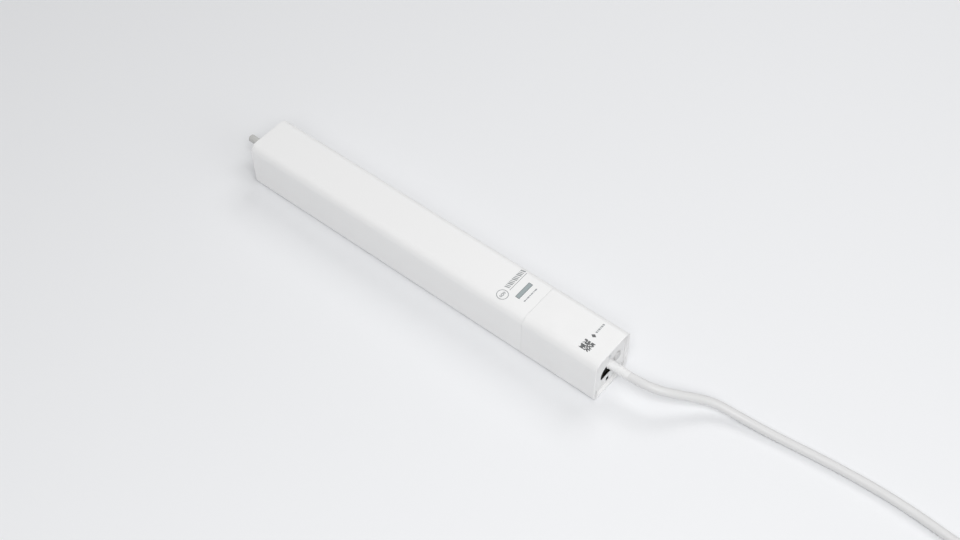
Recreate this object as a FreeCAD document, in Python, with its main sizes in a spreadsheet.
import FreeCAD, Part
import math
import os
import Sketcher

# Motorised curtain-track drive with a mains lead, in millimetres.
# +X runs from the drive shaft's end to the lead's end, +Z is up, and the origin is on the
# surface that the drive lies on, under the middle of the unit from shaft tip to rim.

V = FreeCAD.Vector
doc = FreeCAD.newDocument("curtain_track_drive")

SIZES = {
    # the casing
    "body_length": 320.0,
    "body_width": 39.2,
    "body_height": 41.6,
    "edge_radius": 6.3,
    "tube_wall": 1.6,
    "rear_length": 62.6,
    "seam_gap": 0.2,
    "rear_wall": 2.0,
    "channel_radius": 3.4,
    "channel_inset": 3.2,
    "channel_bore": 1.3,
    "rear_flange": 2.4,
    "case_screw_length": 13.0,
    "flange_lip_side": 1.3,
    "flange_lip_rise": 1.0,
    "tongue_length": 10.0,
    "tongue_thickness": 1.5,
    "tongue_gap_side": 0.9,
    "tongue_gap_rise": 0.6,
    "fit": 0.15,
    # the end panel and what it carries
    "rim_depth": 2.4,
    "panel_thickness": 2.2,
    "post_radius": 2.7,
    "post_length": 13.2,
    "lead_side": 0.6,
    "lead_height": 22.0,
    "lead_radius": 3.2,
    "gland_collar_wall": 0.8,
    "gland_neck_wall": 0.4,
    "gland_tip_wall": 0.2,
    "gland_reach": 14.0,
    "socket_side": -1.3,
    "socket_height": 15.3,
    "socket_radius": 7.7,
    "socket_mouth_width": 11.6,
    "socket_mouth_height": 4.8,
    "socket_mouth_depth": 8.0,
    "tongue_bar": 1.7,
    "button_side": 9.0,
    "button_height": 22.2,
    "button_radius": 3.3,
    "button_travel": 0.8,
    "button_proud": 1.0,
    "window_side": -0.3,
    "window_height": 31.0,
    "window_radius": 1.5,
    # the drive head
    "head_inset": 0.6,
    "head_depth": 9.0,
    "boss_radius": 8.2,
    "boss_reach": 2.4,
    "shaft_radius": 3.0,
    "shaft_reach": 22.5,
    "shaft_flat": 0.5,
    "flat_length": 8.0,
    "running_gap": 0.04,
    "bearing_radius": 6.45,
    "bearing_width": 5.0,
    "bush_radius": 4.9,
    "bush_length": 4.8,
    "screw_recess": 2.4,
    "hook_gap": 0.9,
    "hook_width": 2.6,
    "hook_reach": 5.6,
    "hook_root_drop": 15.8,
    "hook_tip_drop": 8.4,
    "latch_width": 6.1,
    "latch_height": 4.0,
    "latch_web": 2.95,
    "latch_depth": 2.9,
    "latch_travel": 2.2,
    "spring_room": 0.3,
    "nose_width": 4.4,
    "nose_reach": 5.0,
    "keeper_gap": 0.6,
    "keeper_lip": 0.9,
    "keeper_plate": 1.0,
    # the gearbox
    "damper_wall": 1.0,
    "damper_length": 7.0,
    "ring_wall": 1.425,
    "planet_pin": 1.25,
    "planet_width": 6.5,
    "collar_room": 4.0,
    "output_disc": 4.6,
    "inner_disc": 3.1,
    "thrust_gap": 0.5,
    "stage_gap": 1.4,
    "closing_gap": 0.9,
    "motor_plate": 2.4,
    # the motor
    "motor_step": 1.0,
    "motor_length": 62.0,
    "motor_screw_side": 10.0,
    "can_wall": 1.2,
    "rotor_radius": 1.6,
    "air_gap": 0.7,
    "magnet_thickness": 2.5,
    "magnet_front": 8.0,
    "magnet_rear": 12.0,
    "core_front": 11.0,
    "core_rear": 15.0,
    "bell_length": 6.0,
    "hall_board_width": 24.0,
    "hall_board_height": 18.0,
    # the boards
    "board_thickness": 1.6,
    "board_height": 11.5,
    "board_width": 25.0,
    "tray_floor": 1.6,
    "relay_length": 15.0,
    "relay_width": 10.5,
    "relay_height": 12.0,
    "relay_gap": 2.0,
    "core_length": 20.0,
    "core_width": 9.0,
    "core_height": 17.0,
    "bobbin_length": 14.0,
    "bobbin_width": 19.0,
    "bobbin_height": 13.0,
    "capacitor_radius": 5.0,
    "capacitor_height": 17.0,
    "terminal_length": 10.0,
    "terminal_height": 12.0,
    "radio_length": 24.0,
    "radio_height": 17.0,
    "clamp_inset": 38.0,
    "clamp_length": 10.0,
    # the lead and its plug
    "plug_width": 26.2,
    "plug_thickness": 13.7,
    "plug_length": 36.0,
    "plug_pin": 2.0,
    "plug_pin_length": 19.0,
    "plug_pin_pitch": 18.6,
    "coil_outer": 45.0,
    "coil_pitch": 7.0,
    "coil_x": 452.0,
    "coil_y": -8.0,
}

TEETH_SUN, TEETH_PLANET = 12, 15
TEETH_RING = TEETH_SUN + 2 * TEETH_PLANET
PLANETS = 3
# shares of the module
ADDENDUM, DEDENDUM, BACKLASH = 0.9, 1.25, 0.1

# What fits in, passes through or lines up with another piece follows it through a clearance.
FOLLOWING = {
    "flange_opening_width": "2 * (body_width / 2 - tube_wall - channel_inset - flange_lip_side)",
    "flange_opening_height": "2 * (body_height / 2 - tube_wall - channel_inset - flange_lip_rise)",
    "gland_collar": "lead_radius + gland_collar_wall",
    "gland_neck": "lead_radius + gland_neck_wall",
    "gland_tip": "lead_radius + gland_tip_wall",
    # half the room inside the tube, on its narrower way
    "room": "min(body_width; body_height) / 2 - tube_wall",
    "gear_case_radius": "room - damper_wall",
    "gear_module": f"(gear_case_radius - ring_wall) / ({TEETH_RING} / 2 + {DEDENDUM})",
    "motor_radius": "gear_case_radius - motor_step",
    "armature_radius": "motor_radius - can_wall - magnet_thickness - air_gap",
    # places along the drive train, from the casing's front end
    "output_disc_start": "head_depth + collar_room",
    "output_planet_start": "output_disc_start + output_disc + thrust_gap",
    "inner_disc_start": "output_planet_start + planet_width + stage_gap",
    "inner_planet_start": "inner_disc_start + inner_disc + thrust_gap",
    "gearbox_end": "inner_planet_start + planet_width + closing_gap",
    # heights and sides on the drive head
    "hook_low": "body_height / 2 - hook_root_drop",
    "hook_tip": "body_height / 2 - hook_tip_drop",
    "hook_side": "body_width / 2 - tube_wall - channel_inset - screw_recess - hook_gap - hook_width",
    "keeper_width": "2 * (hook_side - keeper_gap)",
    "latch_high": "body_height / 2 - bearing_radius - latch_web",
    "latch_low": "latch_high - latch_height",
}

sheet = doc.addObject("Spreadsheet::Sheet", "dims")
for row, (alias, entry) in enumerate([*SIZES.items(), *FOLLOWING.items()], 1):
    sheet.set(f"A{row}", alias)
    sheet.setAlias(f"B{row}", alias)
    sheet.set(f"B{row}", f"={entry}" if alias in FOLLOWING else str(entry))
doc.recompute()


class Size:
    """A length that carries its number and the spreadsheet formula that gives it."""

    def __init__(self, value, text):
        self.value = float(value)
        self.text = text

    def __add__(self, other):
        return Size(self.value + number_of(other), f"({self.text} + {text_of(other)})")

    def __radd__(self, other):
        return Size(number_of(other) + self.value, f"({text_of(other)} + {self.text})")

    def __sub__(self, other):
        return Size(self.value - number_of(other), f"({self.text} - {text_of(other)})")

    def __rsub__(self, other):
        return Size(number_of(other) - self.value, f"({text_of(other)} - {self.text})")

    def __mul__(self, other):
        return Size(self.value * number_of(other), f"({self.text} * {text_of(other)})")

    __rmul__ = __mul__

    def __truediv__(self, other):
        return Size(self.value / number_of(other), f"({self.text} / {text_of(other)})")

    def __neg__(self):
        return Size(-self.value, f"(0 - {self.text})")


def number_of(size):
    return size.value if isinstance(size, Size) else float(size)


def text_of(size):
    return size.text if isinstance(size, Size) else f"{float(size):.6f}"


class Dims:
    """The sheet's cells by name, as dims.body_length."""


d = Dims()
for alias in (*SIZES, *FOLLOWING):
    setattr(d, alias, Size(sheet.get(alias), f"dims.{alias}"))


def bind(thing, path, size):
    """Ties one property of an object to its formula in the sheet."""
    if isinstance(size, Size):
        thing.setExpression(path, size.text)
    else:
        thing.setExpression(path, text_of(size))


# Places along the unit that several pieces share.
head = (d.shaft_reach - d.body_length) / 2
end = head + d.body_length
seam = end - d.rear_length
axis_z = d.body_height / 2
tube_end = seam - d.seam_gap / 2
rear_start = seam + d.seam_gap / 2
panel_front = end - d.rim_depth
panel_back = panel_front - d.panel_thickness
board_face = panel_back - d.post_length
plate_face = head + d.head_inset
plate_back = head + d.head_depth
channel_y = d.body_width / 2 - d.tube_wall - d.channel_inset
channel_z = d.body_height / 2 - d.tube_wall - d.channel_inset
post_y = d.body_width / 2 - d.rear_wall - d.post_radius
post_z = d.body_height / 2 - d.rear_wall - d.post_radius
planet_orbit = d.gear_module * (TEETH_SUN + TEETH_PLANET) / 2

nodes = []


def keep(name, thing):
    """Names a finished piece and puts it on the list of pieces to write."""
    thing.Label = name
    nodes.append((name, thing))
    return thing


# Sketches and features

PLANES = {"XY": "XY_Plane", "XZ": "XZ_Plane", "YZ": "YZ_Plane"}


def body(name):
    thing = doc.addObject("PartDesign::Body", name)
    thing.AllowCompound = True
    return thing


def sketch(owner, plane, at, shapes, shift=(0, 0)):
    """A sketch square to an axis, at a distance along it, holding some closed outlines."""
    flat = [f for f in owner.Origin.OriginFeatures if f.Role == PLANES[plane]][0]
    sk = owner.newObject("Sketcher::SketchObject", owner.Name + "_sketch")
    sk.AttachmentSupport = [(flat, "")]
    sk.MapMode = "FlatFace"
    bind(sk, "AttachmentOffset.Base.z", -at if plane == "XZ" else at)
    bind(sk, "AttachmentOffset.Base.x", shift[0])
    bind(sk, "AttachmentOffset.Base.y", shift[1])
    for shape in shapes:
        shape(sk)
    return sk


def fix(sk, kind, geometry, point, size):
    place = sk.addConstraint(Sketcher.Constraint(kind, geometry, point, number_of(size)))
    bind(sk, f"Constraints[{place}]", size)


def polygon(*points):
    """A closed outline of straight edges through the points."""

    def draw(sk):
        first = len(sk.Geometry)
        count = len(points)
        for i in range(count):
            a, b = points[i], points[(i + 1) % count]
            ends = [V(number_of(p[0]), number_of(p[1]), 0) for p in (a, b)]
            sk.addGeometry(Part.LineSegment(*ends), False)
        for i in range(count):
            after = first + (i + 1) % count
            sk.addConstraint(Sketcher.Constraint("Coincident", first + i, 2, after, 1))
        for i, (u, v) in enumerate(points):
            fix(sk, "DistanceX", first + i, 1, u)
            fix(sk, "DistanceY", first + i, 1, v)

    return draw


def rectangle(u0, u1, v0, v1):
    return polygon((u0, v0), (u1, v0), (u1, v1), (u0, v1))


def rounded(u0, u1, v0, v1, radius):
    """A rectangle with four equal round corners."""

    def draw(sk):
        first = len(sk.Geometry)
        a0, a1, b0, b1, r = [number_of(s) for s in (u0, u1, v0, v1, radius)]
        up = V(0, 0, 1)
        lines = [
            (V(a0 + r, b0, 0), V(a1 - r, b0, 0)),
            (V(a1, b0 + r, 0), V(a1, b1 - r, 0)),
            (V(a1 - r, b1, 0), V(a0 + r, b1, 0)),
            (V(a0, b1 - r, 0), V(a0, b0 + r, 0)),
        ]
        centres = [(a1 - r, b0 + r), (a1 - r, b1 - r), (a0 + r, b1 - r), (a0 + r, b0 + r)]
        for start, stop in lines:
            sk.addGeometry(Part.LineSegment(start, stop), False)
        for i, (u, v) in enumerate(centres):
            turn = math.pi / 2 * (i - 1)
            circle = Part.Circle(V(u, v, 0), up, r)
            sk.addGeometry(Part.ArcOfCircle(circle, turn, turn + math.pi / 2), False)
        for i in range(4):
            line, arc = first + i, first + 4 + i
            after = first + (i + 1) % 4
            sk.addConstraint(Sketcher.Constraint("Tangent", line, 2, arc, 1))
            sk.addConstraint(Sketcher.Constraint("Tangent", arc, 2, after, 1))
        for i, kind in enumerate(("Horizontal", "Vertical", "Horizontal", "Vertical")):
            sk.addConstraint(Sketcher.Constraint(kind, first + i))
        for i in (1, 2, 3):
            sk.addConstraint(Sketcher.Constraint("Equal", first + 4, first + 4 + i))
        place = sk.addConstraint(Sketcher.Constraint("Radius", first + 4, r))
        bind(sk, f"Constraints[{place}]", radius)
        fix(sk, "DistanceY", first, 1, v0)
        fix(sk, "DistanceX", first + 1, 1, u1)
        fix(sk, "DistanceY", first + 2, 1, v1)
        fix(sk, "DistanceX", first + 3, 1, u0)

    return draw


def disc(u, v, radius):
    def draw(sk):
        first = len(sk.Geometry)
        centre = V(number_of(u), number_of(v), 0)
        sk.addGeometry(Part.Circle(centre, V(0, 0, 1), number_of(radius)), False)
        fix(sk, "DistanceX", first, 3, u)
        fix(sk, "DistanceY", first, 3, v)
        place = sk.addConstraint(Sketcher.Constraint("Radius", first, number_of(radius)))
        bind(sk, f"Constraints[{place}]", radius)

    return draw


def pad(owner, plane, start, stop, *shapes):
    """Adds the outlines as a prism from start to stop along the axis across the plane."""
    feature = owner.newObject("PartDesign::Pad", owner.Name + "_pad")
    feature.Profile = sketch(owner, plane, start, shapes)
    bind(feature, "Length", stop - start)
    feature.Reversed = plane == "XZ"
    return feature


def cut(owner, plane, start, stop, *shapes):
    """Takes the outlines away as a prism from start to stop, and checks that it bit."""
    doc.recompute()
    before = owner.Shape.Volume
    feature = owner.newObject("PartDesign::Pocket", owner.Name + "_pocket")
    feature.Profile = sketch(owner, plane, start, shapes)
    bind(feature, "Length", stop - start)
    feature.Reversed = plane != "XZ"
    doc.recompute()
    if owner.Shape.Volume > before - 0.01:
        raise ValueError(f"a pocket in {owner.Name} cuts nothing")
    return feature


def turned(name, y, z, points):
    """A solid of revolution about a line along X, from (x, radius) points."""
    owner = body(name)
    feature = owner.newObject("PartDesign::Revolution", name + "_turned")
    profile = [polygon(*points)]
    feature.Profile = sketch(owner, "XZ", y, profile, shift=(0, z))
    feature.ReferenceAxis = (feature.Profile[0], ["H_Axis"])
    feature.Angle = 360
    return owner


# Part primitives

TURNS = {
    "X": FreeCAD.Rotation(V(0, 1, 0), 90),
    "Y": FreeCAD.Rotation(V(1, 0, 0), -90),
    "Z": FreeCAD.Rotation(),
}


def place(thing, axis, x, y, z):
    thing.Placement = FreeCAD.Placement(V(0, 0, 0), TURNS[axis])
    for letter, size in zip("xyz", (x, y, z)):
        bind(thing, f"Placement.Base.{letter}", size)


def rod(name, axis, x, y, z, radius, length):
    thing = doc.addObject("Part::Cylinder", name)
    bind(thing, "Radius", radius)
    bind(thing, "Height", length)
    place(thing, axis, x, y, z)
    return thing


def block(name, x0, x1, y0, y1, z0, z1):
    thing = doc.addObject("Part::Box", name)
    bind(thing, "Length", x1 - x0)
    bind(thing, "Width", y1 - y0)
    bind(thing, "Height", z1 - z0)
    place(thing, "Z", x0, y0, z0)
    return thing


def less(name, base, *tools):
    thing = doc.addObject("Part::Cut", name)
    thing.Base = base
    thing.Tool = tools[0] if len(tools) == 1 else group(name + "_tools", *tools)
    return thing


def fused(name, *parts):
    thing = doc.addObject("Part::MultiFuse", name)
    thing.Shapes = list(parts)
    return thing


def group(name, *parts):
    """Several separate solids in one piece, such as a set of screws."""
    thing = doc.addObject("Part::Compound", name)
    thing.Links = list(parts)
    return thing


def screw(name, x, y, z, shank, length, cap, cap_height, outward):
    """A pan-head screw along X: its head's seat at x, its head on the outward side."""
    seat = x - cap_height if outward < 0 else x
    start = x if outward < 0 else x - length
    parts = (
        rod(name + "_head", "X", seat, y, z, cap, cap_height),
        rod(name + "_shank", "X", start, y, z, shank, length),
    )
    return fused(name, *parts)


def corners(y, z):
    return [(sy * y, axis_z + sz * z) for sy in (-1, 1) for sz in (-1, 1)]


def discs_at(places, radius):
    return [disc(y, z, radius) for y, z in places]


channels = corners(channel_y, channel_z)
posts = corners(post_y, post_z)


def casing_outline(inset):
    half = d.body_width / 2 - inset
    return rounded(-half, half, inset, d.body_height - inset, d.edge_radius - inset)


# Casing

tube = body("motor_tube")
pad(tube, "YZ", head, tube_end, casing_outline(0))
cut(tube, "YZ", head, tube_end, casing_outline(d.tube_wall))
pad(tube, "YZ", plate_back, tube_end, *discs_at(channels, d.channel_radius))
cut(tube, "YZ", plate_back, tube_end, *discs_at(channels, d.channel_bore))
keep("motor_tube", tube)

rear = body("rear_housing")
pad(rear, "YZ", rear_start, end, casing_outline(0))
flange_end = rear_start + d.rear_flange
cut(rear, "YZ", flange_end, end, casing_outline(d.rear_wall))
half_w, half_h = d.flange_opening_width / 2, d.flange_opening_height / 2
cut(rear, "YZ", rear_start, flange_end, rounded(-half_w, half_w, axis_z - half_h, axis_z + half_h, 3))
cut(rear, "YZ", rear_start, flange_end, *discs_at(channels, d.channel_bore + 0.4))
tongue_out = d.tube_wall + d.fit
tongue_in = tongue_out + d.tongue_thickness
tongue_start = rear_start - d.tongue_length
tongue_y = channel_y - d.channel_radius - d.tongue_gap_side
tongue_z = channel_z - d.channel_radius - d.tongue_gap_rise
for low, high in ((tongue_out, tongue_in), (d.body_height - tongue_in, d.body_height - tongue_out)):
    pad(rear, "YZ", tongue_start, rear_start, rectangle(-tongue_y, tongue_y, low, high))
for low, high in ((tongue_out, tongue_in), (d.body_width - tongue_in, d.body_width - tongue_out)):
    y0, y1 = low - d.body_width / 2, high - d.body_width / 2
    pad(rear, "YZ", tongue_start, rear_start, rectangle(y0, y1, axis_z - tongue_z, axis_z + tongue_z))
pad(rear, "YZ", board_face, panel_back, *discs_at(posts, d.post_radius))
cut(rear, "YZ", board_face, panel_back, *discs_at(posts, d.channel_bore - 0.2))
keep("rear_housing", rear)

# Eight equal screws hold the rear housing and the drive head to the tube's channels.
case_screws = [
    screw(f"housing_screw_{i}", flange_end, y, z, d.channel_bore - 0.05, d.case_screw_length, 2.1, 1.6, 1)
    for i, (y, z) in enumerate(channels)
]
recess_floor = plate_face + 2.4
case_screws += [
    screw(f"head_screw_{i}", recess_floor, y, z, d.channel_bore - 0.05, d.case_screw_length, 2.1, 1.6, -1)
    for i, (y, z) in enumerate(channels)
]
keep("case_screws", group("case_screws", *case_screws))

# End panel and what it carries

panel = body("end_panel")
pad(panel, "YZ", panel_back, panel_front, casing_outline(d.rear_wall + d.fit))
cut(panel, "YZ", panel_back, panel_front, disc(d.socket_side, d.socket_height, d.socket_radius + 0.1))
cut(panel, "YZ", panel_back, panel_front, disc(d.lead_side, d.lead_height, d.gland_neck + 0.1))
cut(panel, "YZ", panel_back, panel_front, disc(d.button_side, d.button_height, d.button_radius + 0.2))
cut(panel, "YZ", panel_front - 0.6, panel_front, disc(d.button_side, d.button_height, d.button_radius + 1.0))
cut(panel, "YZ", panel_back, panel_front, disc(d.window_side, d.window_height, d.window_radius))
cut(panel, "YZ", panel_back, panel_front, *discs_at(posts, d.channel_bore))
keep("end_panel", panel)

screw_list = [
    screw(f"panel_screw_{i}", panel_front, y, z, d.channel_bore - 0.25, 8, 1.9, 1.2, 1)
    for i, (y, z) in enumerate(posts)
]
keep("panel_screws", group("panel_screws", *screw_list))

gland = turned(
    "cable_gland",
    d.lead_side,
    d.lead_height,
    [
        (panel_back - 2, 0),
        (end + d.gland_reach, 0),
        (end + d.gland_reach, d.gland_tip),
        (panel_front + 0.8, d.gland_neck + 0.2),
        (panel_front + 0.8, d.gland_collar),
        (panel_front, d.gland_collar),
        (panel_front, d.gland_neck),
        (panel_back, d.gland_neck),
        (panel_back, d.gland_collar),
        (panel_back - 2, d.gland_collar),
    ],
)
keep("cable_gland", gland)

socket = body("service_socket")
pad(socket, "YZ", board_face, panel_front, disc(d.socket_side, d.socket_height, d.socket_radius))
cut(socket, "YZ", board_face, panel_front, disc(d.lead_side, d.lead_height, d.gland_collar + 0.1))
mouth_low = d.socket_height - 2.9
mouth_high = mouth_low + d.socket_mouth_height
mouth_y0 = d.socket_side - d.socket_mouth_width / 2
mouth_y1 = d.socket_side + d.socket_mouth_width / 2
mouth_back = panel_front - d.socket_mouth_depth
cut(socket, "YZ", mouth_back, panel_front, rectangle(mouth_y0, mouth_y1, mouth_low, mouth_high))
bar_low = mouth_low - 0.6 - d.tongue_bar
bar_high = bar_low + d.tongue_bar
cut(socket, "YZ", mouth_back, panel_front, rectangle(mouth_y0, mouth_y1, bar_low, bar_high))
slot_y0, slot_y1 = d.socket_side - 2.4, d.socket_side + 2.4
cut(socket, "YZ", mouth_back, panel_front, rectangle(slot_y0, slot_y1, bar_low - 1.9, bar_low - 0.5))
keep("service_socket", socket)
bar = block("socket_tongue", mouth_back, panel_front + 0.3, mouth_y0, mouth_y1, bar_low, bar_high)
keep("socket_tongue", bar)
contact_list = [
    block(
        f"contact_{i}",
        mouth_back,
        panel_front - 1.2,
        d.socket_side - 4.1 + 1.5 * i,
        d.socket_side - 3.4 + 1.5 * i,
        mouth_low,
        mouth_low + 0.4,
    )
    for i in range(6)
]
keep("socket_contacts", group("socket_contacts", *contact_list))

button_flange = panel_back - 0.15
stem_end = board_face + 4.9
button = turned(
    "program_button",
    d.button_side,
    d.button_height,
    [
        (stem_end, 0),
        (panel_front + d.button_proud, 0),
        (panel_front + d.button_proud, d.button_radius - 0.5),
        (panel_front + d.button_proud - 0.5, d.button_radius),
        (button_flange, d.button_radius),
        (button_flange, d.button_radius + 0.8),
        (button_flange - 1.2, d.button_radius + 0.8),
        (button_flange - 1.2, 1.6),
        (stem_end, 1.6),
    ],
)
keep("program_button", button)

switch_parts = (
    block(
        "switch_case",
        board_face,
        board_face + 3.4,
        d.button_side - 3,
        d.button_side + 3,
        d.button_height - 3,
        d.button_height + 3,
    ),
    rod("switch_plunger", "X", board_face + 3.4, d.button_side, d.button_height, 1.5, 0.5),
)
keep("button_switch", fused("button_switch", *switch_parts))
pipe_start = board_face + 2.5
pipe_length = panel_front + 0.2 - pipe_start
pipe = rod("light_pipe", "X", pipe_start, d.window_side, d.window_height, d.window_radius, pipe_length)
keep("light_pipe", pipe)

# The corners of this board are screwed against the posts' ends.
small_board = body("small_board")
board_back = board_face - 1.2
pad(small_board, "YZ", board_back, board_face, casing_outline(d.rear_wall + 0.4))
cut(small_board, "YZ", board_back, board_face, disc(d.lead_side, d.lead_height, d.lead_radius + 0.6))
notch_top = d.board_height + d.board_thickness + 0.4
cut(small_board, "YZ", board_back, board_face, rectangle(-12, 12, 0, notch_top))
led = rod("status_led", "X", board_face, d.window_side, d.window_height, 1.4, 2.2)
keep("interface_board", group("interface_board", small_board, led))

# Drive head

plate = body("drive_head")
pad(plate, "YZ", plate_face, plate_back, casing_outline(d.tube_wall + d.fit))
pad(plate, "YZ", head - d.boss_reach, plate_face, disc(0, axis_z, d.boss_radius))
spigot = 2.2
pad(plate, "YZ", plate_back, plate_back + spigot, disc(0, axis_z, d.gear_case_radius - 1.2))
bush_start = plate_back + spigot - d.bush_length
cut(plate, "YZ", head - d.boss_reach, plate_back + spigot, disc(0, axis_z, d.shaft_radius + 0.5))
bearing_start = head - d.boss_reach
cut(plate, "YZ", bearing_start, bearing_start + d.bearing_width, disc(0, axis_z, d.bearing_radius))
cut(plate, "YZ", bush_start, plate_back + spigot, disc(0, axis_z, d.bush_radius))
cut(plate, "YZ", plate_face, plate_back, *discs_at(channels, d.channel_bore + 0.3))
cut(plate, "YZ", plate_face, recess_floor, *discs_at(channels, d.screw_recess))
channel_half = d.latch_width / 2 + d.fit
channel_low, channel_high = d.latch_low - d.latch_travel - d.spring_room, d.latch_high + d.fit
channel_back = plate_face + d.latch_depth + 2 * d.fit
latch_channel = rectangle(-channel_half, channel_half, channel_low, channel_high)
cut(plate, "YZ", plate_face, channel_back, latch_channel)
keeper_screw_y = d.keeper_width / 2 - 2.1
keeper_screw_z = (d.latch_low + d.latch_high) / 2 - 1.6
keeper_threads = discs_at([(s * keeper_screw_y, keeper_screw_z) for s in (-1, 1)], 0.9)
cut(plate, "YZ", plate_face, plate_face + 5, *keeper_threads)
tip_x = head - d.hook_reach
hook_points = [
    (plate_face + 0.5, d.hook_low),
    (tip_x, d.hook_low),
    (tip_x, d.hook_tip - 1.2),
    (tip_x + 1.0, d.hook_tip),
    (tip_x + 2.2, d.hook_tip),
    (tip_x + 2.2, d.hook_low + 3),
    (plate_face + 0.5, d.hook_low + 3),
]
pad(plate, "XZ", d.hook_side, d.hook_side + d.hook_width, polygon(*hook_points))
pad(plate, "XZ", -d.hook_side - d.hook_width, -d.hook_side, polygon(*hook_points))
keep("drive_head", plate)

latch_front = plate_face + d.fit
latch_back = latch_front + d.latch_depth
latch = body("latch")
half_latch = d.latch_width / 2
pad(latch, "YZ", latch_front, latch_back, rectangle(-half_latch, half_latch, d.latch_low, d.latch_high))
nose_low, nose_high = d.latch_low + 1.0, d.latch_high - 0.6
nose_tip = head - d.nose_reach
nose_points = [
    (latch_back, nose_low),
    (nose_tip, nose_low),
    (nose_tip, nose_low + 0.8),
    (nose_tip + 1.8, nose_high),
    (latch_back, nose_high),
]
pad(latch, "XZ", -d.nose_width / 2, d.nose_width / 2, polygon(*nose_points))
keep("latch", latch)

keeper = body("latch_keeper")
keeper_low, keeper_high = channel_low - d.keeper_lip, axis_z - d.boss_radius - 0.3
keeper_front = plate_face - d.keeper_plate
half_keeper = d.keeper_width / 2
keeper_outline = rounded(-half_keeper, half_keeper, keeper_low, keeper_high, 1.5)
pad(keeper, "YZ", keeper_front, plate_face, keeper_outline)
slot_half = d.nose_width / 2 + 0.3
slot_low, slot_high = nose_low - d.latch_travel - 0.3, nose_high + 0.3
cut(keeper, "YZ", keeper_front, plate_face, rectangle(-slot_half, slot_half, slot_low, slot_high))
keeper_holes = discs_at([(s * keeper_screw_y, keeper_screw_z) for s in (-1, 1)], 1.0)
cut(keeper, "YZ", keeper_front, plate_face, *keeper_holes)
keep("latch_keeper", keeper)
screw_list = [
    screw(f"keeper_screw_{i}", keeper_front, s * keeper_screw_y, keeper_screw_z, 0.85, 5.5, 1.7, 0.9, -1)
    for i, s in enumerate((-1, 1))
]
keep("keeper_screws", group("keeper_screws", *screw_list))

spring = body("latch_spring")
low, high = channel_low + 0.05, d.latch_low - 0.05
spring_points = [
    (0, low),
    (half_latch - 0.6, high - 0.4),
    (half_latch - 0.3, high),
    (half_latch - 1.3, high),
    (0, low + 0.5),
    (1.3 - half_latch, high),
    (0.3 - half_latch, high),
    (0.6 - half_latch, high - 0.4),
]
pad(spring, "YZ", latch_front + 0.4, latch_back - 0.4, polygon(*spring_points))
keep("latch_spring", spring)

# Shaft and bearings

race_in, race_out = d.shaft_radius + d.running_gap, d.bearing_radius
shield_in, shield_out = race_in + 1.2, race_out - 1.2
far = bearing_start + d.bearing_width
bearing_points = [
    (bearing_start, race_in),
    (far, race_in),
    (far, shield_in),
    (far - 0.4, shield_in),
    (far - 0.4, shield_out),
    (far, shield_out),
    (far, race_out),
    (bearing_start, race_out),
    (bearing_start, shield_out),
    (bearing_start + 0.4, shield_out),
    (bearing_start + 0.4, shield_in),
    (bearing_start, shield_in),
]
keep("front_bearing", turned("front_bearing", 0, axis_z, bearing_points))
bush_end = bush_start + d.bush_length
bush_points = [
    (bush_start, race_in),
    (bush_end, race_in),
    (bush_end, d.bush_radius),
    (bush_start, d.bush_radius),
]
keep("inner_bush", turned("inner_bush", 0, axis_z, bush_points))

tip = head - d.shaft_reach
clip_back = bearing_start - 0.2
clip_front = clip_back - 0.7
disc_start = head + d.output_disc_start
disc_end = disc_start + d.output_disc
shaft = turned(
    "drive_shaft",
    0,
    axis_z,
    [
        (tip, 0),
        (disc_end, 0),
        (disc_end, d.shaft_radius),
        (disc_start, d.shaft_radius),
        (disc_start, d.shaft_radius + 1),
        (bush_end + 0.3, d.shaft_radius + 1),
        (bush_end + 0.3, d.shaft_radius),
        (clip_back, d.shaft_radius),
        (clip_back, d.shaft_radius - 0.4),
        (clip_front, d.shaft_radius - 0.4),
        (clip_front, d.shaft_radius),
        (tip + 0.7, d.shaft_radius),
        (tip, d.shaft_radius - 0.7),
    ],
)
flat_z = axis_z - d.shaft_radius + d.shaft_flat
below_flat = rectangle(-d.shaft_radius, d.shaft_radius, axis_z - d.shaft_radius - 1, flat_z)
cut(shaft, "YZ", tip, tip + d.flat_length, below_flat)
keep("drive_shaft", shaft)
clip = body("shaft_clip")
clip_ring = (disc(0, axis_z, d.shaft_radius + 1.7), disc(0, axis_z, d.shaft_radius - 0.4))
pad(clip, "YZ", clip_front, clip_back, *clip_ring)
cut(clip, "YZ", clip_front, clip_back, rectangle(-1.2, 1.2, axis_z + 1, axis_z + 6))
keep("shaft_clip", clip)


# Gears

PRESSURE = math.radians(20)


def half_tooth(radius, teeth, module, widen):
    """Half the angle that a tooth, or a ring's tooth space, fills at a radius."""
    base = teeth * module / 2 * math.cos(PRESSURE)
    angle = math.acos(min(1.0, base / radius))
    involute = math.tan(angle) - angle
    start = math.pi / (2 * teeth) + math.tan(PRESSURE) - PRESSURE
    return start + widen / teeth - involute


def tooth_outline(teeth, module, inner, outer, widen, steps):
    """The points round a gear, or round the void in a ring gear, in the YZ plane."""
    points = []
    for tooth in range(int(teeth)):
        middle = 2 * math.pi * tooth / teeth
        radii = [inner + (outer - inner) * i / (steps - 1) for i in range(steps)]
        rising = [(r, middle - half_tooth(r, teeth, module, widen)) for r in radii]
        falling = [(r, middle + half_tooth(r, teeth, module, widen)) for r in reversed(radii)]
        points += [V(0, r * math.cos(t), r * math.sin(t)) for r, t in rising + falling]
    return points


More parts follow.
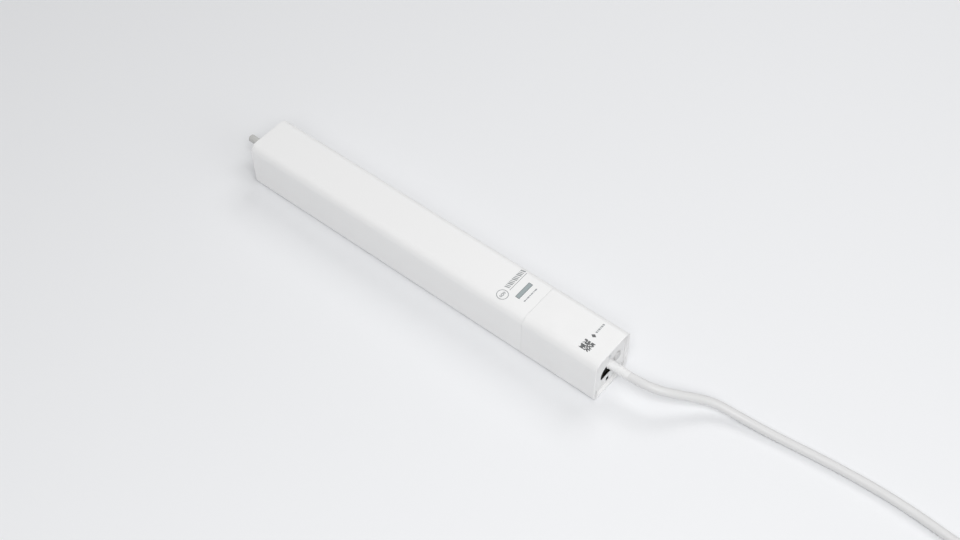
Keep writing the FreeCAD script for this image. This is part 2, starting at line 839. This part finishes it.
def gear_solid(teeth, length, bore):
    """A spur gear along X with a plain bore, from its own tooth formula."""
    module = number_of(d.gear_module)
    pitch = teeth * module / 2
    inner, outer = pitch - DEDENDUM * module, pitch + ADDENDUM * module
    points = tooth_outline(teeth, module, inner, outer, -BACKLASH, 3)
    face = Part.Face(Part.makePolygon(points + points[:1]))
    solid = face.extrude(V(number_of(length), 0, 0))
    hole = Part.makeCylinder(number_of(bore), number_of(length), V(0, 0, 0), V(1, 0, 0))
    return solid.cut(hole)


def ring_solid():
    """The gear case: a tube with a plain front chamber and a toothed bore behind it."""
    module = number_of(d.gear_module)
    pitch = TEETH_RING * module / 2
    inner, outer = pitch - ADDENDUM * module, pitch + DEDENDUM * module
    points = tooth_outline(TEETH_RING, module, inner, outer, BACKLASH, 2)
    length = number_of(d.gearbox_end - d.head_depth)
    chamber = number_of(d.output_planet_start - d.head_depth) - 0.2
    case = Part.makeCylinder(number_of(d.gear_case_radius), length, V(0, 0, 0), V(1, 0, 0))
    void = Part.Face(Part.makePolygon(points + points[:1])).extrude(V(length, 0, 0))
    front = Part.makeCylinder(number_of(d.gear_case_radius) - 1.1, chamber, V(0, 0, 0), V(1, 0, 0))
    return case.cut(void).cut(front)


def positioned(name, shape, x, y, z, angle=0.0):
    """A solid worked out above, turned about X and put in its place."""
    thing = doc.addObject("Part::Feature", name)
    thing.Shape = shape
    thing.Placement = FreeCAD.Placement(V(0, 0, 0), FreeCAD.Rotation(V(1, 0, 0), angle))
    for letter, size in zip("xyz", (x, y, z)):
        bind(thing, f"Placement.Base.{letter}", size)
    return thing


def solid_piece(name, *where):
    return keep(name, positioned(name, *where))


def ring_of_pins(name, start, stop):
    rods = []
    for i in range(PLANETS):
        angle = 2 * math.pi * i / PLANETS
        y, z = planet_orbit * math.cos(angle), axis_z + planet_orbit * math.sin(angle)
        rods.append(rod(f"{name}_{i}", "X", start, y, z, d.planet_pin, stop - start))
    return keep(name, group(name, *rods))


def carrier(name, start, stop, radius, bore):
    """A planet carrier's disc with its pin holes and lightening holes."""
    owner = body(name + "_disc")
    outlines = [disc(0, axis_z, radius)]
    if bore is not None:
        outlines.append(disc(0, axis_z, bore))
    for i in range(PLANETS):
        for turn, hole in ((0.0, d.planet_pin), (0.5, 2.2)):
            angle = 2 * math.pi * (i + turn) / PLANETS
            y, z = planet_orbit * math.cos(angle), axis_z + planet_orbit * math.sin(angle)
            outlines.append(disc(y, z, hole))
    pad(owner, "YZ", start, stop, *outlines)
    return owner


solid_piece("ring_gear", ring_solid(), plate_back, 0, axis_z)
output_disc = carrier("output", disc_start, disc_end, d.gear_case_radius - 2.7, d.shaft_radius)
keep("output_carrier", output_disc)
output_start = head + d.output_planet_start
ring_of_pins("output_pins", disc_start + 0.2, output_start + d.planet_width + 0.7)
inner_start = head + d.inner_planet_start
inner_disc_start = head + d.inner_disc_start
inner_disc_end = inner_disc_start + d.inner_disc
inner_radius = d.gear_module * TEETH_RING / 2 - 1.4
inner_disc = carrier("inner", inner_disc_start, inner_disc_end, inner_radius, None)
ring_of_pins("inner_pins", inner_disc_start + 0.2, inner_start + d.planet_width + 0.3)
sun_start = output_start + 0.2
sun_shape = gear_solid(TEETH_SUN, inner_disc_start - sun_start, 1.0)
inner_sun = positioned("inner_sun", sun_shape, sun_start, 0, axis_z)
keep("inner_carrier", fused("inner_carrier", inner_disc, inner_sun))
pinion_shape = gear_solid(TEETH_SUN, d.planet_width - 0.1, d.rotor_radius)
solid_piece("sun_pinion", pinion_shape, inner_start + 0.4, 0, axis_z)
planet_shape = gear_solid(TEETH_PLANET, d.planet_width, d.planet_pin + 0.06)
first_turn = 180 + 180 / TEETH_PLANET
for stage, start in (("output", output_start), ("inner", inner_start)):
    for i in range(PLANETS):
        angle = 2 * math.pi * i / PLANETS
        y, z = planet_orbit * math.cos(angle), axis_z + planet_orbit * math.sin(angle)
        solid_piece(f"{stage}_planet_{i + 1}", planet_shape, start, y, z, first_turn + math.degrees(angle))

# Motor

plate_start = head + d.gearbox_end
can_start = plate_start + d.motor_plate
can_end = can_start + d.motor_length
bell_end = can_end + d.bell_length
adapter = body("motor_plate")
pad(adapter, "YZ", plate_start, can_start, disc(0, axis_z, d.gear_case_radius), disc(0, axis_z, 6.1))
screw_places = [(-d.motor_screw_side, axis_z), (d.motor_screw_side, axis_z)]
cut(adapter, "YZ", plate_start, can_start, *discs_at(screw_places, 1.6))
cut(adapter, "YZ", plate_start, plate_start + 1.2, *discs_at(screw_places, 2.9))
keep("motor_plate", adapter)
motor_screw_list = [
    screw(f"motor_screw_{i}", plate_start + 1.2, y, z, 1.5, 4, 2.7, 1.1, -1)
    for i, (y, z) in enumerate(screw_places)
]
keep("motor_screws", group("motor_screws", *motor_screw_list))

shaft_bore = d.rotor_radius + 0.06
can_in = d.motor_radius - d.can_wall
can_points = [
    (plate_start + 0.2, shaft_bore),
    (can_start + 1.6, shaft_bore),
    (can_start + 1.6, can_in),
    (can_end, can_in),
    (can_end, d.motor_radius),
    (can_start + 1, d.motor_radius),
    (can_start, d.motor_radius - 1),
    (can_start, 6),
    (plate_start + 0.2, 6),
]
can = turned("motor_can", 0, axis_z, can_points)
cut(can, "YZ", can_start, can_start + 1.6, *discs_at(screw_places, 1.5))
keep("motor_can", can)
bell_points = [
    (can_end - 2, shaft_bore),
    (bell_end + 1.2, shaft_bore),
    (bell_end + 1.2, 5.5),
    (bell_end, 5.5),
    (bell_end, d.motor_radius - 1),
    (bell_end - 1, d.motor_radius),
    (can_end, d.motor_radius),
    (can_end, can_in - 0.05),
    (can_end - 2, can_in - 0.05),
]
keep("motor_end_bell", turned("motor_end_bell", 0, axis_z, bell_points))

magnet_in = can_in - d.magnet_thickness
magnet_start, magnet_stop = can_start + d.magnet_front, can_end - d.magnet_rear
magnet_ring = less(
    "magnet_ring",
    rod("magnet_outer", "X", magnet_start, 0, axis_z, can_in, magnet_stop - magnet_start),
    rod("magnet_inner", "X", magnet_start, 0, axis_z, magnet_in, magnet_stop - magnet_start),
)
gap_y = d.motor_radius + 4
magnet_gap = block("magnet_gap", magnet_start, magnet_stop, -gap_y, gap_y, axis_z - 4, axis_z + 4)
keep("motor_magnets", less("motor_magnets", magnet_ring, magnet_gap))

rotor_end = bell_end + 6.5
rotor_points = [
    (inner_start + 0.3, 0),
    (rotor_end, 0),
    (rotor_end, d.rotor_radius),
    (inner_start + 0.3, d.rotor_radius),
]
keep("rotor_shaft", turned("rotor_shaft", 0, axis_z, rotor_points))
core = body("armature_core")
core_start, core_stop = can_start + d.core_front, can_end - d.core_rear
pad(core, "YZ", core_start, core_stop, disc(0, axis_z, d.armature_radius), disc(0, axis_z, d.rotor_radius))
slots = []
for i in range(5):
    angle = 2 * math.pi * i / 5
    reach = d.armature_radius - 1.6
    slots.append(disc(reach * math.cos(angle), axis_z + reach * math.sin(angle), 2.3))
cut(core, "YZ", core_start, core_stop, *slots)
coils = []
for i, x in enumerate((core_start - 4.5, core_stop)):
    outer = rod(f"coil_outer_{i}", "X", x, 0, axis_z, d.armature_radius - 3.4, 4.5)
    inner = rod(f"coil_inner_{i}", "X", x, 0, axis_z, d.rotor_radius, 4.5)
    coils.append(less(f"coil_{i}", outer, inner))
commutator_start = core_stop + 4.8
commutator = less(
    "commutator",
    rod("commutator_outer", "X", commutator_start, 0, axis_z, 4.2, 7.5),
    rod("commutator_bore", "X", commutator_start, 0, axis_z, d.rotor_radius, 7.5),
)
keep("armature", group("armature", core, *coils, commutator))
brush_list = []
for i, side in enumerate((-1, 1)):
    low = axis_z + side * 7 - 2.5
    brush_list.append(block(f"brush_{i}", can_end - 7, can_end - 2, -2, 2, low, low + 5))
brush_list += [
    block(f"tab_{i}", bell_end, bell_end + 5, -1.6, 1.6, axis_z + side * 11, axis_z + side * 11 + 0.8)
    for i, side in enumerate((-1, 1))
]
keep("motor_brushes", group("motor_brushes", *brush_list))
magnet_x = bell_end + 2.6
encoder = less(
    "encoder_magnet",
    rod("encoder_outer", "X", magnet_x, 0, axis_z, 4.5, 3),
    rod("encoder_bore", "X", magnet_x, 0, axis_z, d.rotor_radius, 3),
)
keep("encoder_magnet", encoder)
hall_x = bell_end + 7.2
hall_y, hall_z = d.hall_board_width / 2, d.hall_board_height / 2
hall_parts = [block("hall_plate", hall_x, hall_x + 1.2, -hall_y, hall_y, axis_z - hall_z, axis_z + hall_z)]
hall_parts += [
    rod(f"hall_post_{i}", "X", bell_end, s * (hall_y - 2.5), axis_z, 1.5, 7.2)
    for i, s in enumerate((-1, 1))
]
keep("hall_board", fused("hall_board", *hall_parts))


def damper(name, start, stop, bore):
    """A rubber collar between the round drive train and the tube's flat walls."""
    owner = body(name)
    half = d.body_width / 2 - d.tube_wall
    outline = rounded(-half, half, d.tube_wall, d.body_height - d.tube_wall, d.room - 1.2)
    pad(owner, "YZ", start, stop, outline, disc(0, axis_z, bore))
    cut(owner, "YZ", start, stop, *discs_at(channels, d.channel_radius + 0.2))
    return keep(name, owner)


front_stop, rear_stop = plate_start - 1, can_end - 3
damper("front_damper", front_stop - d.damper_length, front_stop, d.gear_case_radius)
damper("rear_damper", rear_stop - d.damper_length, rear_stop, d.motor_radius)

# Boards

tray_start, tray_end = hall_x + 6, tube_end - d.tongue_length - 1.5
tray_low = axis_z - channel_z + d.channel_radius + 0.1
tray = body("board_tray")
tray_half = d.body_width / 2 - d.tube_wall - 1.2
pad(tray, "XY", tray_low, tray_low + d.tray_floor, rectangle(tray_start, tray_end, -tray_half, tray_half))
tray_top = tray_low + d.tray_floor
for y0, y1 in ((tray_half - 1.4, tray_half), (-tray_half, 1.4 - tray_half)):
    pad(tray, "XY", tray_top, tray_top + 3.5, rectangle(tray_start, tray_end, y0, y1))
post_side = d.board_width / 2 - 3.5
stand_off = [disc(x, y, 2) for x in (tray_start + 6, tray_end - 6) for y in (-post_side, post_side)]
pad(tray, "XY", tray_top, d.board_height, *stand_off)
keep("board_tray", tray)

board_top = d.board_height + d.board_thickness
main_start, main_end = tray_start + 1, board_back
half_board = d.board_width / 2
main = block("main_board", main_start, main_end, -half_board, half_board, d.board_height, board_top)
keep("main_board", main)


def on_board(name, x, y, length, width, height):
    """A boxed component standing on the main board."""
    near = main_start + x
    return block(name, near, near + length, y - width / 2, y + width / 2, board_top, board_top + height)


relay_step = d.relay_length + d.relay_gap
relay_pair = [
    on_board(f"relay_{i}", 4 + i * relay_step, 0, d.relay_length, d.relay_width, d.relay_height)
    for i in range(2)
]
keep("relays", group("relays", *relay_pair))
core_at = 8 + 2 * relay_step
bobbin_at = core_at + (d.core_length - d.bobbin_length) / 2
transformer = fused(
    "transformer",
    on_board("transformer_core", core_at, 0, d.core_length, d.core_width, d.core_height),
    on_board("transformer_bobbin", bobbin_at, 0, d.bobbin_length, d.bobbin_width, d.bobbin_height),
)
keep("transformer", transformer)
pair_x = main_start + core_at + d.core_length + 2 * d.capacitor_radius
pair_y = d.capacitor_radius + 0.5
small_x = pair_x + 2 * d.capacitor_radius + 2
cap_list = [
    rod("capacitor_0", "Z", pair_x, pair_y, board_top, d.capacitor_radius, d.capacitor_height),
    rod("capacitor_1", "Z", pair_x, -pair_y, board_top, d.capacitor_radius, d.capacitor_height),
    rod("capacitor_2", "Z", small_x, 0, board_top, d.capacitor_radius - 1, d.relay_height),
]
keep("capacitors", group("capacitors", *cap_list))

# The lead inside the housing, and what it ends on

clamp_start = end - d.clamp_inset
clamp_stop = clamp_start + d.clamp_length
tail_end = clamp_start - 2
core_length = 4.0
terminal_stop = tail_end - core_length
terminal_start = terminal_stop - d.terminal_length
terminal_top = board_top + d.terminal_height
terminal = block("terminal_block", terminal_start, terminal_stop, -8, 6, board_top, terminal_top)
keep("terminal_block", terminal)
radio_y = half_board - 3.0
radio_stop = terminal_start + d.radio_length
radio_top = board_top + d.radio_height
radio_side = radio_y + d.board_thickness
radio = block("radio_board", terminal_start, radio_stop, radio_y, radio_side, board_top, radio_top)
keep("radio_board", radio)
tail_start = panel_back - 2
tail = rod("tail_sheath", "X", tail_end, d.lead_side, d.lead_height, d.lead_radius, tail_start - tail_end)
cores = [
    rod(f"core_{i}", "X", terminal_stop, d.lead_side + s * 1.5, d.lead_height, 1.1, core_length)
    for i, s in enumerate((-1, 1))
]
keep("lead_tail", group("lead_tail", tail, *cores))
clamp = body("lead_clamp")
clamp_y0, clamp_y1 = d.lead_side - 8, d.lead_side + 8
clamp_top = d.lead_height + 5.4
pad(clamp, "YZ", clamp_start, clamp_stop, rectangle(clamp_y0, clamp_y1, board_top, d.lead_height - 0.4))
pad(clamp, "YZ", clamp_start, clamp_stop, rectangle(clamp_y0, clamp_y1, d.lead_height + 0.4, clamp_top))
cut(clamp, "YZ", clamp_start, clamp_stop, disc(d.lead_side, d.lead_height, d.lead_radius))
screw_x = (clamp_start + clamp_stop) / 2
cut(clamp, "XY", board_top, clamp_top, *[disc(screw_x, d.lead_side + s * 5.6, 1.0) for s in (-1, 1)])
keep("lead_clamp", clamp)
clamp_screws = []
for i, s in enumerate((-1, 1)):
    screw_y = d.lead_side + s * 5.6
    shank = rod(f"clamp_shank_{i}", "Z", screw_x, screw_y, board_top + 1, 0.95, clamp_top - 1 - board_top)
    cap = rod(f"clamp_cap_{i}", "Z", screw_x, screw_y, clamp_top, 1.9, 1.2)
    clamp_screws.append(fused(f"clamp_screw_{i}", shank, cap))
keep("clamp_screws", group("clamp_screws", *clamp_screws))

# The free lead

lead = number_of(d.lead_radius)
gland_end = V(number_of(end + d.gland_reach), number_of(d.lead_side), number_of(d.lead_height))
coil_x, coil_y = number_of(d.coil_x), number_of(d.coil_y)
coil_start = V(coil_x, coil_y + number_of(d.coil_outer), lead)

# The lead's route from the gland to the coil, chosen by hand: x, y and z of each point.
ROUTE = [
    (gland_end.x, gland_end.y, gland_end.z),
    (197.5, gland_end.y, gland_end.z),
    (210.6, 4.9, 20.1),
    (222.6, 14.4, 15.4),
    (236.5, 25.0, 9.8),
    (254, 28.8, 5.2),
    (281, 31.8, lead),
    (322, 37, lead),
    (370, 40, lead),
    (420, coil_start.y, lead),
    (coil_start.x, coil_start.y, lead),
]


def rounded_path(points):
    """Straight runs joined by tangent arcs, each as large as its two runs allow."""
    points = [V(*p) for p in points]
    edges, radii, here = [], [], points[0]
    for i in range(1, len(points) - 1):
        back, on = points[i] - points[i - 1], points[i + 1] - points[i]
        shorter = min(back.Length, on.Length)
        turn = back.getAngle(on)
        radius = 0.45 * shorter / math.tan(turn / 2)
        back.normalize()
        on.normalize()
        start, stop = points[i] - back * 0.45 * shorter, points[i] + on * 0.45 * shorter
        inward = on - back
        inward.normalize()
        middle = points[i] + inward * (radius / math.cos(turn / 2) - radius)
        edges.append(Part.LineSegment(here, start).toShape())
        edges.append(Part.Arc(start, middle, stop).toShape())
        radii.append(radius)
        here = stop
    edges.append(Part.LineSegment(here, points[-1]).toShape())
    return Part.Wire(edges), radii


def tube_along(wire, direction, radius):
    """A round solid along a wire that starts in the given direction."""
    start = wire.OrderedVertexes[0].Point
    section = Part.Wire(Part.makeCircle(radius, start, direction))
    shell = wire.makePipeShell([section], True, False)
    share = shell.Volume / (math.pi * radius**2 * wire.Length)
    return shell, share


run_wire, run_radii = rounded_path(ROUTE)
run_shape, run_share = tube_along(run_wire, V(1, 0, 0), lead)
print("cord_run: length %.1f, volume share %.4f" % (run_wire.Length, run_share))
print("cord_run radii:", " ".join("%.0f" % r for r in run_radii))
run = doc.addObject("Part::Feature", "cord_run")
run.Shape = run_shape
keep("cord_run", run)

IN_TURNS, CLIMB_TURNS, OUT_TURNS, RISE_TURNS, PLUG_TURNS = 2.5, 0.5, 1.5, 0.25, 0.375
LAYER = 2 * lead + 0.6
PLUG_BEND = 27.0
PLUG_HEIGHT = 2 * lead + LAYER + 0.3 + number_of(d.plug_thickness) / 2


def ease(t):
    t = min(1.0, max(0.0, t))
    return t * t * (3 - 2 * t)


def around(radius, turns, height, middle_x=coil_x, middle_y=coil_y):
    angle = 2 * math.pi * turns
    return V(middle_x + radius * math.sin(angle), middle_y + radius * math.cos(angle), height)


def coil_point(turns):
    """A point of the coil: in on the surface, up a layer, out again, then up to the plug."""
    pitch = number_of(d.coil_pitch)
    outer = number_of(d.coil_outer)
    inner = outer - pitch * IN_TURNS
    climbed = turns - IN_TURNS
    gone_out = climbed - CLIMB_TURNS
    risen = gone_out - OUT_TURNS
    if climbed < 0:
        return around(outer - pitch * turns, turns, lead)
    if gone_out < 0:
        radius = inner - pitch / (2 * math.pi) * math.sin(2 * math.pi * climbed)
        return around(radius, turns, lead + LAYER * ease(climbed / CLIMB_TURNS))
    top = lead + LAYER
    if risen < 0:
        return around(inner + pitch * gone_out, turns, top)
    share = min(1.0, risen / RISE_TURNS)
    radius = inner + pitch * (OUT_TURNS + RISE_TURNS * (share - share**2 / 2))
    if risen < RISE_TURNS:
        return around(radius, turns, top + (PLUG_HEIGHT - top) * ease(share))
    centre = around(radius - PLUG_BEND, IN_TURNS + CLIMB_TURNS + OUT_TURNS + RISE_TURNS, 0)
    return around(PLUG_BEND, turns, PLUG_HEIGHT, centre.x, centre.y)


def biarc(p0, t0, p1, t1):
    """Two arcs that meet smoothly between two points with their directions."""
    span = p1 - p0
    both = t0 + t1
    a, b, c = 2 * (1 - t0.dot(t1)), 2 * span.dot(both), -span.dot(span)
    if abs(a) < 1e-9:
        reach = -c / b
    else:
        reach = (-b + math.sqrt(b * b - 4 * a * c)) / (2 * a)
    q0, q1 = p0 + t0 * reach, p1 - t1 * reach
    join = (q0 + q1) * 0.5
    return [arc_between(p0, t0, join), arc_between(join, (q1 - q0).normalize(), p1)]


def arc_between(a, direction, b):
    """The arc from a to b that starts in a direction, or the straight line between them."""
    chord = b - a
    angle = direction.getAngle(chord)
    if angle < 1e-4:
        return Part.LineSegment(a, b).toShape()
    side = direction - chord * (direction.dot(chord) / chord.dot(chord))
    side.normalize()
    bulge = chord.Length / 2 * math.tan(angle / 2)
    return Part.Arc(a, a + chord * 0.5 + side * bulge, b).toShape()


def coil_wire():
    total = IN_TURNS + CLIMB_TURNS + OUT_TURNS + RISE_TURNS + PLUG_TURNS
    steps = int(round(total * 8))
    stations = [total * i / steps for i in range(steps + 1)]
    points = [coil_point(s) for s in stations]
    tangents = []
    for i, s in enumerate(stations):
        tangent = coil_point(min(s + 0.002, total)) - coil_point(max(s - 0.002, 0))
        tangents.append(tangent.normalize())
    heading = 2 * math.pi * total
    tangents[0] = V(1, 0, 0)
    tangents[-1] = V(math.cos(heading), -math.sin(heading), 0)
    edges = []
    for i in range(steps):
        edges += biarc(points[i], tangents[i], points[i + 1], tangents[i + 1])
    straight_end = points[-1] + tangents[-1] * 2.4 * lead
    edges.append(Part.LineSegment(points[-1], straight_end).toShape())
    return Part.Wire(edges), straight_end, -math.degrees(heading)


def least_gap(wire, thickness):
    """The smallest space between turns, measured on points along the middle line."""
    points = wire.discretize(Distance=2.0)
    step = wire.Length / (len(points) - 1)
    apart = int(3 * thickness / step) + 1
    best = 1e9
    for i, p in enumerate(points):
        for q in points[i + apart :]:
            best = min(best, p.distanceToPoint(q))
    return best - thickness


wound_wire, plug_start, plug_heading = coil_wire()
wound_shape, wound_share = tube_along(wound_wire, V(1, 0, 0), lead)
print("cord_coil: length %.1f, volume share %.4f" % (wound_wire.Length, wound_share))
print("cord_coil least gap %.2f" % least_gap(wound_wire, 2 * lead))
radii = [e.Curve.Radius for e in wound_wire.Edges if hasattr(e.Curve, "Radius")]
print("cord_coil radii %.1f to %.1f" % (min(radii), max(radii)))
wound = doc.addObject("Part::Feature", "cord_coil")
wound.Shape = wound_shape
keep("cord_coil", wound)
print("whole lead outside the gland %.0f mm" % (run_wire.Length + wound_wire.Length))

# Plug: a moulded flat body that widens from the lead, and its two round pins.

plug_place = FreeCAD.Placement(plug_start, FreeCAD.Rotation(V(0, 0, 1), plug_heading))
plug = body("plug_body")
plug_sections = []
# distance from the lead, share of the width, share of the thickness, corner radius
PLUG_SECTIONS = ((0, 0.35, 0.66, 4.4), (10, 0.5, 0.76, 4.6), (27, 1, 1, 4), (36, 1, 1, 4))
for along, wide, thick, radius in PLUG_SECTIONS:
    half_wide, half_thick = d.plug_width * wide / 2, d.plug_thickness * thick / 2
    outline = rounded(-half_wide, half_wide, -half_thick, half_thick, radius)
    plug_sections.append(sketch(plug, "YZ", d.plug_length * along / 36, [outline]))
loft = plug.newObject("PartDesign::AdditiveLoft", "plug_loft")
loft.Profile = plug_sections[0]
loft.Sections = plug_sections[1:]
loft.Ruled = True
plug.Placement = plug_place
keep("plug_body", plug)
pin_tip = d.plug_length + d.plug_pin_length
pin_points = [
    (d.plug_length, 0),
    (pin_tip, 0),
    (pin_tip, d.plug_pin - 0.9),
    (pin_tip - 0.3, d.plug_pin - 0.3),
    (pin_tip - 1.0, d.plug_pin),
    (d.plug_length, d.plug_pin),
]
pin_list = [
    turned(f"plug_pin_{i}", side * d.plug_pin_pitch / 2, 0, pin_points) for i, side in enumerate((-1, 1))
]
pins = group("plug_pins", *pin_list)
pins.Placement = plug_place
keep("plug_pins", pins)

# Checks and files

doc.recompute()
for thing in doc.Objects:
    if {"Invalid", "Error"} & set(thing.State):
        raise ValueError(f"{thing.Label} is in state {thing.State}")
os.makedirs("parts", exist_ok=True)
for name, thing in nodes:
    shape = thing.Shape
    if shape.isNull() or not shape.isValid() or not shape.Solids:
        raise ValueError(f"{name} has no valid shape")
    shape.exportStep(f"parts/{name}.step")
print(len(nodes), "pieces")
